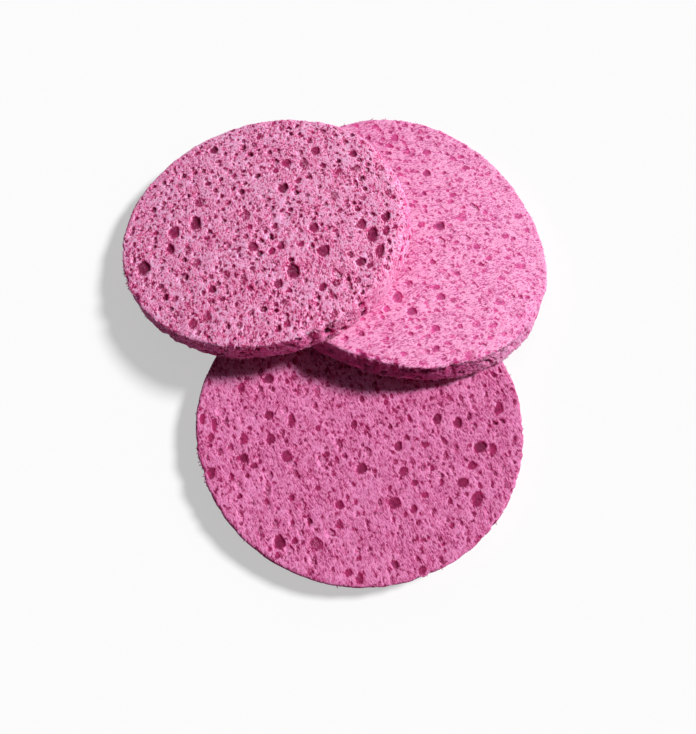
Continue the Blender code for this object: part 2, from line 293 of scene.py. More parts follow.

# How far a flank leans away from the key lamp for its full painted shade, and what the pink is multiplied by
# there and, as painted dimming, on the rims and walls in full light
FLANK_LEAN = 0.48
FLANK_SHADE_TINT = (1.0, 0.25, 0.62)
LIT_DIMMING_TINT = (0.78, 0.80, 0.80)

# The depth that counts as fully hollow for the painted shade that deepens with a cell's depth, and how far in
# from the rim the face is worn and drawn in
FULL_HOLLOW = 1.6 * MM
WORN_REACH = 3.2 * MM
SLANT_REACH = 7 * MM

# How far in from the rims the upper and lower edges crumble, and the torn places reach
UPPER_CRUMBLE = 1.2 * MM
LOWER_CRUMBLE = 1.3 * MM
NICK_REACH = 1.6 * MM

# Spacing of the mesh on the upper face, the underside, the rim and round the open cells
TOP_SPACING = 0.36 * MM
UNDER_SPACING = 0.85 * MM
RIM_SPACING = 0.35 * MM
CELL_RING_SPACING = 0.36 * MM

# How a sponge's skin is laid out on a square from 0 to 1: place and size of the upper face, of the underside
# and of the fibres' patch, and start, length, step and height of the wall's strips
TOP_SPOT, TOP_SIZE = (0.35, 0.65), 0.34
UNDER_SPOT, UNDER_SIZE = (0.85, 0.85), 0.145
FIBRE_SPOT, FIBRE_SIZE = (0.725, 0.325), (0.25, 0.35)
STRIP_START, STRIP_LENGTH, STRIP_STEP, STRIP_HEIGHT = 0.02, 0.96, 0.09, 0.07


def added(name, data):
    """A new object in the scene."""
    thing = bpy.data.objects.new(name, data)
    bpy.context.scene.collection.objects.link(thing)
    return thing


def hashed(cells, seed):
    """A fixed number from 0 to 1 for each whole-number corner of a lattice."""
    x, y, z = (cells[..., k].astype(np.uint64) for k in range(3))
    mixed = x * np.uint64(73856093) ^ y * np.uint64(19349663) ^ z * np.uint64(83492791)
    mixed ^= np.uint64(seed * 2654435761)
    mixed ^= mixed >> np.uint64(13)
    mixed *= np.uint64(1274126177)
    mixed ^= mixed >> np.uint64(16)
    return (mixed & np.uint64(0xFFFFFF)).astype(float) / 0xFFFFFF


def noise(points, size, seed):
    """Smooth lattice noise from -1 to 1 with features of about the given size."""
    scaled = points / size + 1000
    base = np.floor(scaled).astype(np.int64)
    part = scaled - base
    part = part * part * (3 - 2 * part)
    total = np.zeros(len(points))
    for dx in (0, 1):
        for dy in (0, 1):
            for dz in (0, 1):
                near_x, near_y, near_z = (np.abs(1 - d - part[:, k]) for k, d in enumerate((dx, dy, dz)))
                total += near_x * near_y * near_z * hashed(base + np.array((dx, dy, dz)), seed)
    return total * 2 - 1


def tree_of(points):
    """A search tree of points in a plane."""
    tree = KDTree(len(points))
    for index, point in enumerate(points):
        tree.insert((point[0], point[1], 0), index)
    tree.balance()
    return tree


def waves(angle, wave, p1, p2, p3):
    """How far a cell's wavy rim reaches at each angle, where 1 is its plain ellipse."""
    sum_of_waves = np.sin(2 * angle + p1) * 0.7 + np.sin(3 * angle + p2) * 0.7 + np.sin(5 * angle + p3) * 0.5
    return 1 + wave * sum_of_waves


class Cells:
    """Open cells on a flat chart: place, half sizes, turn, depth, wavy rim and strength of painted shade of
    each.
    """

    def __init__(self, rng):
        self.rng = rng
        self.rows = []

    def add(self, x, y, length, width, turn, depth, wave=0.09, strength=None):
        phases = self.rng.uniform(0, math.tau, 3)
        drawn = self.rng.uniform(0.45, 1.0)
        if strength is None:
            strength = drawn
        self.rows.append((x, y, length, width, turn, depth, wave, *phases, strength))

    def clear_of(self, x, y, reach, share):
        """Whether a new cell at x, y would overlap none of the cells by more than the given share."""
        for row in self.rows:
            if math.hypot(row[0] - x, row[1] - y) < (row[2] + reach) * share:
                return False
        return True

    def rim(self, row, scale, count):
        """Points round a cell, at the given multiple of its half sizes."""
        x, y, length, width, turn, _, wave, p1, p2, p3, _ = row
        a = np.arange(count) * (math.tau / count) + p1
        w = waves(a, wave, p1, p2, p3) * scale
        u, v = length * np.cos(a) * w, width * np.sin(a) * w
        cos, sin = math.cos(turn), math.sin(turn)
        return np.stack([x + u * cos - v * sin, y + u * sin + v * cos], 1)

    def depth_at(self, row, points):
        """Depth and painted shade of a cell under each point: a bowl, steep on one side and gentle on the
        other.
        """
        x, y, length, width, turn, depth, wave, p1, p2, p3, strength = row
        dx, dy = points[:, 0] - x, points[:, 1] - y
        u = (dx * math.cos(turn) + dy * math.sin(turn)) / length
        v = (-dx * math.sin(turn) + dy * math.cos(turn)) / width
        a = np.arctan2(v, u)
        away = np.hypot(u, v) / waves(a, wave, p1, p2, p3)
        steep = np.clip(0.5 + 0.5 * (dx * math.cos(STEEP_SIDE) + dy * math.sin(STEEP_SIDE)) / width, 0, 1)
        # the wall drops at once by a fifth to a half of the depth, and most on the steep side
        wall = 0.20 + 0.30 * steep
        bowl = wall + (1 - wall) * np.clip(1 - away**2, 0, 1) ** (0.95 - 0.35 * steep)
        # painted shade: the whole cell is darkened in colour in place of the shade that falls in it, fading
        # out towards its gentle side
        cell_shade = strength * np.clip((1.04 - away) / (0.12 + 0.40 * (1 - steep)), 0, 1)
        return np.where(away < 1, depth * (0.75 + 0.30 * steep) * bowl, 0), cell_shade

    def carve(self, points, extra=()):
        """The depth of the deepest cell and the strongest painted shade under each point of the chart."""
        depth, cell_shade = np.zeros(len(points)), np.zeros(len(points))
        tree = tree_of(points)
        for row in list(self.rows) + list(extra):
            # a wavy rim reaches up to a quarter further than the plain ellipse
            near = tree.find_range((row[0], row[1], 0), max(row[2], row[3]) * 1.25)
            found = [index for _, index, _ in near]
            if found:
                index = np.array(found)
                found_depth, found_cell_shade = self.depth_at(row, points[index])
                depth[index] = np.maximum(depth[index], found_depth)
                cell_shade[index] = np.maximum(cell_shade[index], found_cell_shade)
        return depth, cell_shade


def spread(rng, reach, spacing):
    """Loose hexagonal points over a disc."""
    steps = int(reach / spacing) + 2
    i, j = np.meshgrid(np.arange(-steps, steps + 1), np.arange(-2 * steps, 2 * steps + 1))
    points = np.stack([(i + 0.5 * (j % 2)).ravel() * spacing, j.ravel() * spacing * math.sqrt(3) / 2], 1)
    points += rng.normal(0, spacing * 0.16, points.shape)
    return points[np.hypot(points[:, 0], points[:, 1]) < reach - spacing * 0.6]


def away_from(points, others, distance):
    """The points that lie further than the given distance from all the others."""
    tree = tree_of(others)
    keep = [tree.find((point[0], point[1], 0))[2] > distance for point in points]
    return points[np.array(keep)]


def face_mesh(rng, flat, rim_points, cells, small, spacing, ring_spacing, fine):
    """Points and triangles of one face: its rim, rings round its larger cells, and loose points between."""
    rings = []
    for row in cells.rows:
        if math.hypot(row[0], row[1]) + row[2] > flat - spacing:
            continue
        # two or three rings follow the cell's edge, where its wall is steep
        count = max(7, int(math.pi * (row[2] + row[3]) / ring_spacing))
        for scale in (1.05, 0.985, 0.90) if fine else (1.05, 0.95):
            rings.append(cells.rim(row, scale, count))
    rings = np.concatenate(rings)
    centres = np.array([row[:2] for row in small])
    centres = centres[np.hypot(centres[:, 0], centres[:, 1]) < flat - spacing]
    centres = away_from(centres, rings, spacing * 0.35)
    fixed = np.concatenate([rim_points, rings, centres])
    loose = away_from(spread(rng, flat, spacing), fixed, spacing * 0.55)
    points = np.concatenate([fixed, loose])
    found, _, faces, origins, _, _ = delaunay_2d_cdt([Vector(p) for p in points / MM], [], [], 0, 1e-4)
    found = np.array([(p.x, p.y) for p in found]) * MM
    rim_index = np.full(len(rim_points), -1)
    for index, origin in enumerate(origins):
        for source in origin:
            if source < len(rim_points):
                rim_index[source] = index
    return found, np.array(faces), rim_index


def cell_depth(rng):
    """Most open cells are shallow bowls, and about a third go deep."""
    return rng.uniform(0.40, 0.6) if rng.random() < 0.33 else rng.uniform(0.22, 0.38)


def random_cells(rng, cells, reach, foam):
    """Fills a face with medium cells between those already there, and returns the many small ones."""
    area = math.pi * (reach / MM / 10) ** 2
    low, high = foam["medium_mm"]
    wanted = int(area * foam["medium"])
    placed = 0
    for _ in range(wanted * 12):
        if placed >= wanted:
            break
        width = (low + (high - low) * rng.random() ** 1.7) * MM
        length = width * rng.uniform(1.0, foam["long"])
        r, a = reach * math.sqrt(rng.random()), rng.uniform(0, math.tau)
        x, y = r * math.cos(a), r * math.sin(a)
        if r > reach - length or not cells.clear_of(x, y, length, 0.92):
            continue
        turn = math.radians(foam["turn"] + rng.normal(0, 16))
        cells.add(x, y, length, width, turn, width * cell_depth(rng) * foam["coarse"], wave=0.13)
        placed += 1
    for _ in range(int(area * DENTS_PER_CM2)):
        # broad shallow dents, with hardly any painted shade
        width = rng.uniform(0.8, 1.5) * MM
        r, a = (reach - 2 * width) * math.sqrt(rng.random()), rng.uniform(0, math.tau)
        x, y = r * math.cos(a), r * math.sin(a)
        if cells.clear_of(x, y, width, 0.8):
            turn = math.radians(foam["turn"] + rng.normal(0, 16))
            length = width * rng.uniform(1.0, 1.4)
            cells.add(x, y, length, width, turn, width * 0.32, wave=0.12, strength=rng.uniform(0, 0.25))
    small = Cells(rng)
    for _ in range(int(area * foam["small"])):
        width = rng.uniform(0.13, 0.34) * MM
        r, a = reach * math.sqrt(rng.random()), rng.uniform(0, math.tau)
        turn = math.radians(foam["turn"] + rng.normal(0, 20))
        length = width * rng.uniform(1.0, foam["long"])
        depth = width * rng.uniform(0.15, 0.38) * foam["coarse"]
        small.add(r * math.cos(a), r * math.sin(a), length, width, turn, depth)
    return small.rows


def loose_fibres(rng, roots, outs):
    """Curled three-sided fibres that stand on the skin, one at each root: their corners and triangles."""
    count = len(roots)
    along = outs + rng.normal(0, 0.8, (count, 3))
    along /= np.linalg.norm(along, axis=1)[:, None]
    across = np.cross(along, rng.normal(0, 1, (count, 3)))
    across /= np.linalg.norm(across, axis=1)[:, None]
    third = np.cross(along, across)
    length = rng.uniform(0.25, 0.6, (count, 1)) * MM
    half = FIBRE_HALF * rng.uniform(0.7, 1.4, (count, 1))
    corners = []
    for share, taper in ((-0.35, 1.0), (0.3, 1.0), (0.7, 0.8), (1.0, 0.35)):
        middle = roots + (along * share + across * 0.5 * max(share, 0) ** 2) * length
        for k in range(3):
            a = math.tau * k / 3
            corners.append(middle + (third * math.cos(a) + across * math.sin(a)) * half * taper)
    pattern = [(0, 1, 2), (9, 11, 10)]
    for ring in (0, 3, 6):
        for k in range(3):
            first, second = ring + k, ring + (k + 1) % 3
            pattern += [(first, second + 3, second), (first, first + 3, second + 3)]
    triangles = (np.arange(count) * 12)[:, None, None] + np.array(pattern)[None]
    return np.stack(corners, 1).reshape(-1, 3), triangles.reshape(-1, 3)


def lay_out_fibres(count):
    """A layout of the fibres in the corner that lay_out leaves free, each in a small square of its own."""
    patch = [[(0, 0.85), (0.1, 0.85), (0, 0.95)], [(0.5, 0.85), (0.6, 0.85), (0.5, 0.95)]]
    for ring in range(3):
        low, high = 0.27 * ring, 0.27 * (ring + 1)
        for k in range(3):
            left, right = 0.3 * k, 0.3 * (k + 1)
            patch += [[(left, low), (right, high), (right, low)], [(left, low), (left, high), (right, high)]]
    wide = math.ceil(math.sqrt(count))
    number = np.arange(count)
    corner = np.stack([number % wide, number // wide], 1) / wide
    spots = (corner[:, None, None] + np.array(patch)[None] / wide) * FIBRE_SIZE + FIBRE_SPOT
    return spots.reshape(-1, 3, 2)


def lay_out(mesh, triangles, flat_places, top_count, strip_count, columns, radius, fibre_count):
    """A layout of the skin on a square: the upper face large, the wall in three strips, the underside."""
    spots = np.zeros((len(triangles), 3, 2))
    faces = flat_places[triangles] / radius
    spots[:top_count] = faces[:top_count] * TOP_SIZE + TOP_SPOT
    wall_count = strip_count * 2 * columns
    spots[top_count + wall_count :] = faces[top_count + wall_count :] * UNDER_SIZE + UNDER_SPOT
    share = -(-columns // 3)
    column = np.arange(columns)
    strip, start = column // share, (column % share) / share
    stop = start + 1 / share
    for row in range(strip_count):
        high, low = 1 - row / strip_count, 1 - (row + 1) / strip_count
        lower_half = ((start, high), (start, low), (stop, low))
        upper_half = ((start, high), (stop, low), (stop, high))
        for half, corners in enumerate((lower_half, upper_half)):
            first = top_count + (2 * row + half) * columns
            for corner, (along, height) in enumerate(corners):
                here = spots[first : first + columns, corner]
                here[:, 0] = STRIP_START + STRIP_LENGTH * along
                here[:, 1] = STRIP_START + STRIP_STEP * strip + STRIP_HEIGHT * height
    spots = np.concatenate([spots, lay_out_fibres(fibre_count)])
    layer = mesh.uv_layers.new(name="OFBake")
    layer.data.foreach_set("uv", spots.astype(np.float32).ravel())


def all_cells(name, rng):
    """The open cells of a sponge's upper face, underside and wall, and the small ones of the two faces."""
    radius, foam = LAYS[name][0], FOAM[name]
    top = Cells(rng)
    for number, (x, y, length, width, turn) in enumerate(CELL_SHARES[name]):
        # the dark part that shows is the steep side of a slightly wider bowl
        back = 0.06 * width * radius
        faint = number in FAINT_CELLS[name]
        top.add(
            x * radius - back * math.cos(STEEP_SIDE),
            y * radius - back * math.sin(STEEP_SIDE),
            length * radius * 1.05,
            width * radius * 1.12,
            math.radians(turn),
            width * radius * (0.18 if faint else rng.uniform(0.19, 0.40)) * (0.7 + 0.3 * foam["coarse"]),
            wave=0.08,
            strength=0.75 if faint else 1.0,
        )
    small_top = random_cells(rng, top, radius, foam)
    under = Cells(rng)
    for _ in range(UNDER_TRIES):
        r, a = (radius - ROUNDING) * math.sqrt(rng.random()), rng.uniform(0, math.tau)
        x, y = r * math.cos(a), r * math.sin(a)
        width = rng.uniform(0.9, 1.4) * MM
        if under.clear_of(x, y, width, 1.0):
            length = width * rng.uniform(1, 1.5)
            under.add(x, y, length, width, math.radians(foam["turn"]), width * 1.3)
    sparser = dict(foam, medium=foam["medium"] * 0.8, small=foam["small"] * 0.3)
    small_under = random_cells(rng, under, radius, sparser)
    wall = Cells(rng)
    length_round, half = math.tau * radius, THICKNESS / 2
    for at, z, length, width in WALL_CELLS[name]:
        wall.add(math.radians(at % 360) * radius, z, length, width, 0, width * 1.1, wave=0.12, strength=1.0)
    for _ in range(int(length_round / MM * WALL_TRIES_PER_MM)):
        s, z = rng.uniform(0, length_round), rng.uniform(-half, half) * 0.8
        width = rng.uniform(0.25, 0.95) ** 1.3 * MM
        if wall.clear_of(s, z, width, 0.95):
            length, depth = width * rng.uniform(1.1, 2.0), min(width * 1.2, 0.9 * MM) * foam["ragged"]
            wall.add(s, z, length, width, rng.normal(0, 0.35), depth, wave=0.12)
    for _ in range(int(length_round / MM * WALL_TINY_PER_MM)):
        width = rng.uniform(0.14, 0.30) * MM
        wall.add(rng.uniform(0, length_round), rng.uniform(-half, half), width, width, 0, width * 1.1)
    return top, small_top, under, small_under, wall


def laid(name, place):
    """The points of a flat round sponge, made oval, bent and put in its place, and its three axes there."""
    radius, centre, slope, towards, side_droop, end_rise, twist, oval, longest, _ = LAYS[name]
    turn = np.arctan2(place[:, 1], place[:, 0])
    place[:, :2] *= (1 + oval / radius * np.cos(2 * (turn - math.radians(longest))))[:, None]
    side, end = place[:, 0] / radius, place[:, 1] / radius
    place[:, 2] += end_rise * end**2 - side_droop * side**2 + twist * side * end
    heading = math.radians(towards)
    rise = slope * np.array((math.cos(heading), math.sin(heading)))
    up = np.array((-rise[0], -rise[1], 1))
    up /= np.linalg.norm(up)
    across = np.array((1, 0, rise[0]))
    across /= np.linalg.norm(across)
    turned = np.stack([across, np.cross(up, across), up])
    place = place @ turned + np.array(centre)
    # the skin never goes under the table
    place[:, 2] = np.maximum(place[:, 2], 0)
    return place, turned


def skin_mesh(name, place, triangles):
    """A mesh of the given points and triangles, shaded smooth."""
    mesh = bpy.data.meshes.new(name + "_foam_skin")
    mesh.vertices.add(len(place))
    mesh.vertices.foreach_set("co", place.astype(np.float32).ravel())
    mesh.loops.add(len(triangles) * 3)
    mesh.loops.foreach_set("vertex_index", triangles.astype(np.int32).ravel())
    mesh.polygons.add(len(triangles))
    mesh.polygons.foreach_set("loop_start", np.arange(len(triangles), dtype=np.int32) * 3)
    mesh.update(calc_edges=True)
    mesh.validate()
    mesh.shade_smooth()
    return mesh


def sponge(name):
    """One sponge: a closed skin with its cells, rims and loose fibres, bent and laid in its place."""
    radius, flare = LAYS[name][0], LAYS[name][-1]
    foam = FOAM[name]
    rng = np.random.default_rng(foam["seed"])
    flat = radius - ROUNDING
    half = THICKNESS / 2
    top, small_top, under, small_under, wall = all_cells(name, rng)

    # rim rows: angle columns, and arc rows from the upper face's edge to the underside's edge
    columns = int(math.tau * radius / RIM_SPACING)
    turns = np.arange(columns) * (math.tau / columns)
    circle = np.stack([np.cos(turns), np.sin(turns)], 1)
    arc = math.pi / 2 * ROUNDING
    straight = THICKNESS - 2 * ROUNDING
    rows = int((2 * arc + straight) / RIM_SPACING)
    travel = np.arange(rows + 1) * ((2 * arc + straight) / rows)

    top_points, top_faces, top_rim = face_mesh(
        rng, flat, circle * flat, top, small_top, TOP_SPACING, CELL_RING_SPACING, True
    )
    low_flat = flat + flare
    under_points, under_faces, under_rim = face_mesh(
        rng, low_flat, circle * low_flat, under, small_under, UNDER_SPACING, CELL_RING_SPACING * 2, False
    )

    def profile(t):
        """Reach, height and outward direction at each travel down the rim."""
        upper = np.clip(t / ROUNDING, 0, math.pi / 2)
        lower = np.clip((t - arc - straight) / ROUNDING, 0, math.pi / 2)
        angle = upper + lower
        reach = np.where(lower > 0, flat + ROUNDING * np.cos(lower), flat + ROUNDING * np.sin(upper))
        reach = reach + flare * np.clip((t - arc) / straight, 0, 1)
        above = half - ROUNDING + ROUNDING * np.cos(upper)
        between = half - ROUNDING - (t - arc)
        below = -half + ROUNDING - ROUNDING * np.sin(lower)
        height = np.where(t < arc, above, np.where(t < arc + straight, between, below))
        return reach, height, angle

    inner = travel[1:-1]
    reach, height, angle = profile(inner)
    rim_xy = (circle[None] * reach[:, None, None]).reshape(-1, 2)
    rim_z = np.repeat(height, columns)
    rim_out_xy = (circle[None] * np.sin(angle)[:, None, None]).reshape(-1, 2)
    rim_out = np.column_stack([rim_out_xy, np.repeat(np.cos(angle), columns)])

    # charts: the upper face's chart runs on over the rounding, and so does the underside's
    up_chart = (circle[None] * (flat + inner)[:, None, None]).reshape(-1, 2)
    low_chart = (circle[None] * (flat + flare + travel[-1] - inner)[:, None, None]).reshape(-1, 2)
    turn_chart = np.stack([np.tile(turns * radius, len(inner)), rim_z], 1)

    n_top, n_rim, n_under = len(top_points), len(rim_xy), len(under_points)
    place = np.concatenate(
        [
            np.column_stack([top_points, np.full(n_top, half)]),
            np.column_stack([rim_xy, rim_z]),
            np.column_stack([under_points, np.full(n_under, -half)]),
        ]
    )
    out = np.concatenate([np.tile((0.0, 0, 1), (n_top, 1)), rim_out, np.tile((0.0, 0, -1), (n_under, 1))])

    on_rim = slice(n_top, n_top + n_rim)
    depth, cell_shade = np.zeros(len(place)), np.zeros(len(place))
    charts = (
        (slice(0, n_top + n_rim), top.carve(np.concatenate([top_points, up_chart]), small_top)),
        (slice(n_top, len(place)), under.carve(np.concatenate([low_chart, under_points]), small_under)),
        (on_rim, wall.carve(turn_chart)),
    )
    for covered, (found_depth, found_cell_shade) in charts:
        depth[covered] = np.maximum(depth[covered], found_depth)
        cell_shade[covered] = np.maximum(cell_shade[covered], found_cell_shade)
    # no cell is deeper than 0.9 mm and about half of its distance from the rim together
    to_rim = radius - np.hypot(place[:, 0], place[:, 1])
    depth = np.minimum(depth, 0.9 * MM + 0.55 * np.maximum(to_rim, 0))

    # fine unevenness of the skin, slow waves of the cut faces and of the outline, and the ragged rims
    flow = math.radians(foam["flow"])
    grain = place * 1.0
    grain[:, 0] = (place[:, 0] * math.cos(flow) + place[:, 1] * math.sin(flow)) / foam["drawn"]
    grain[:, 1] = -place[:, 0] * math.sin(flow) + place[:, 1] * math.cos(flow)
    rough = noise(grain, 0.60 * MM, foam["seed"]) * 0.03 + noise(grain, 1.4 * MM, foam["seed"] + 1) * 0.045
    rough *= foam["coarse"]
    rough += noise(place, 3.4 * MM, foam["seed"] + 2) * 0.12 + noise(place, 9 * MM, foam["seed"] + 3) * 0.05
    upper_edge, lower_edge, streak = (np.zeros(len(place)) for _ in range(3))
    upper_edge[:n_top] = np.clip(1 - (arc / 2 + flat - np.hypot(*top_points.T)) / UPPER_CRUMBLE, 0, 1)
    from_top, from_bottom = np.repeat(inner, columns), np.repeat(travel[-1] - inner, columns)
    upper_edge[on_rim] = np.clip(1 - np.abs(from_top - arc / 2) / UPPER_CRUMBLE, 0, 1)
    lower_edge[on_rim] = np.clip(1 - np.abs(from_bottom - arc / 2) / LOWER_CRUMBLE, 0, 1)
    torn = noise(place, 0.8 * MM, foam["seed"] + 4) * 0.55 + noise(place, 2.4 * MM, foam["seed"] + 5) * 0.6
    bearing = np.degrees(np.arctan2(place[:, 1], place[:, 0]))
    nicks = np.zeros(len(place))
    torn_near = np.full(len(place), 0.04)
    for at, half_width, nick_depth in NICKS[name]:
        across = math.radians(1) * radius * ((bearing - at + 180) % 360 - 180)
        nick = np.exp(-((across / half_width) ** 2)) * np.clip(1 - to_rim / NICK_REACH, 0, 1)
        nicks += nick_depth * nick * np.clip(0.6 + place[:, 2] / THICKNESS, 0, 1)
        torn_near = np.maximum(torn_near, np.exp(-((across / (4 * MM)) ** 2)))
    rough -= upper_edge * np.clip(torn * 1.5 - 0.1, 0, 1) * (0.10 + 0.25 * torn_near)
    rough -= lower_edge * np.clip(torn * 1.8, 0, 1) * (0.45 + 0.80 * torn_near)
    drawn_wall = np.column_stack([turn_chart[:, 0] / 3.5, turn_chart[:, 1], rim_z * 0])
    streak[on_rim] = noise(drawn_wall, 0.5 * MM, 7)
    rough += streak * 0.14
    rough = (rough - 0.03) * MM - nicks
    # on one side the upper rim is worn round, and the wall there leans in
    first_turn, last_turn, wear = foam["worn"]
    middle_turn, half_turn = (first_turn + last_turn) / 2, (last_turn - first_turn) / 2
    sector = np.clip(1 - np.abs(bearing - middle_turn) / half_turn, 0, 1)
    near_rim = np.clip(1 - to_rim / WORN_REACH, 0, 1) ** 2
    low = np.where(place[:, 2] > 0, place[:, 2] / half, 0)
    worn = np.minimum(sector * 3, 1) * near_rim
    place[:, 2] -= wear * worn * low
    slant = np.minimum(sector * 3, 1) * np.clip(1 - to_rim / SLANT_REACH, 0, 1)
    place[:, :2] *= (1 - 1.2 * wear / radius * slant * np.clip(0.5 + place[:, 2] / THICKNESS, 0, 1))[:, None]
    place = place + out * (np.minimum(rough, 0.12 * MM) - depth)[:, None]

    # loose ends of fibres, most of them near the torn places
    rim_index = np.arange(n_top, n_top + n_rim)
    chance = torn_near[on_rim] * (0.10 + upper_edge[on_rim] + 0.6 * lower_edge[on_rim])
    roots = rng.choice(rim_index, FIBRE_COUNT[name], p=chance / chance.sum())
    fibre_places, fibre_triangles = loose_fibres(rng, place[roots], out[roots])
    skin_count = len(place)
    place = np.concatenate([place, fibre_places])
    out = np.concatenate([out, np.repeat(out[roots], 12, axis=0)])
    depth = np.concatenate([depth, np.zeros(len(fibre_places))])
    cell_shade = np.concatenate([cell_shade, np.zeros(len(fibre_places))])
    worn = np.concatenate([worn, np.repeat(worn[roots], 12)])

    turn = np.arctan2(place[:, 1], place[:, 0])
    place, turned = laid(name, place)

    # one closed skin
    place_flat = np.concatenate([top_points, rim_xy, under_points])
    first, last = n_top, n_top + n_rim
    ring_rows = [first + k * columns + np.arange(columns) for k in range(len(inner))]
    ring_rows = [top_rim] + ring_rows + [under_rim + last]
    strips = []
    for above, below in zip(ring_rows, ring_rows[1:]):
        next_above, next_below = np.roll(above, -1), np.roll(below, -1)
        strips.append(np.stack([above, below, next_below], 1))
        strips.append(np.stack([above, next_below, next_above], 1))
    skin = np.concatenate([top_faces] + strips + [under_faces[:, ::-1] + last])
    triangles = np.concatenate([skin, fibre_triangles + skin_count])
    mesh = skin_mesh(name, place, triangles)

    # painted shade on the flanks at the far right of the cells, which face away from the key lamp, and on the
    # walls turned from it, and painted dimming on the rims and walls in its full light; facing is 2 towards
    # the key lamp and -2 away from it
    normals = np.zeros(len(place) * 3, dtype=np.float32)
    mesh.vertex_normals.foreach_get("vector", normals)
    leaning = normals.reshape(-1, 3).astype(float) - out @ turned
    lean = -(leaning[:, 0] * math.cos(SHADED_FLANK_SIDE) + leaning[:, 1] * math.sin(SHADED_FLANK_SIDE))
    lee_shade = np.clip(lean / FLANK_LEAN, 0, 1)
    lee_shade[skin_count:] = 0
    facing = np.cos(turn - math.radians(KEY_HEADING)) * 2
    steepness = np.clip((1 - np.abs(out[:, 2])) * (1.5 + 3 * np.clip(facing, 0, 1)), 0, 1)
    # painted shade on the walls turned from the key lamp, and a little on the fibres there
    wall_shade_share = steepness * np.clip(0.9 - facing, 0, 1)
    wall_shade_share[skin_count:] *= 0.7
    # painted dimming on the rims, worn edges and walls that face the key lamp
    lit = np.clip(steepness + 0.6 * wear / MM * worn, 0, 1) * np.clip(facing, 0, 1) * foam["lit"]
    traits = {
        # the first two carry the painted shade in the cells, the next two the painted shade on the walls and
        # flanks turned from the key lamp, the fifth the painted dimming in its light
        "cavity": np.clip(depth / FULL_HOLLOW, 0, 1),
        "cell_shade": cell_shade,
        "side": wall_shade_share,
        "lee_shade": lee_shade,
        "lit": lit,
        "loose": np.arange(len(place)) >= skin_count,
    }
    for label, values in traits.items():
        mesh.attributes.new(label, "FLOAT", "POINT").data.foreach_set("value", values.astype(np.float32))
    lay_out(mesh, skin, place_flat, len(top_faces), len(strips) // 2, columns, radius, len(roots))
    print(name, "triangles", len(triangles), "cells", len(top.rows))
    return added(name + "_foam", mesh)


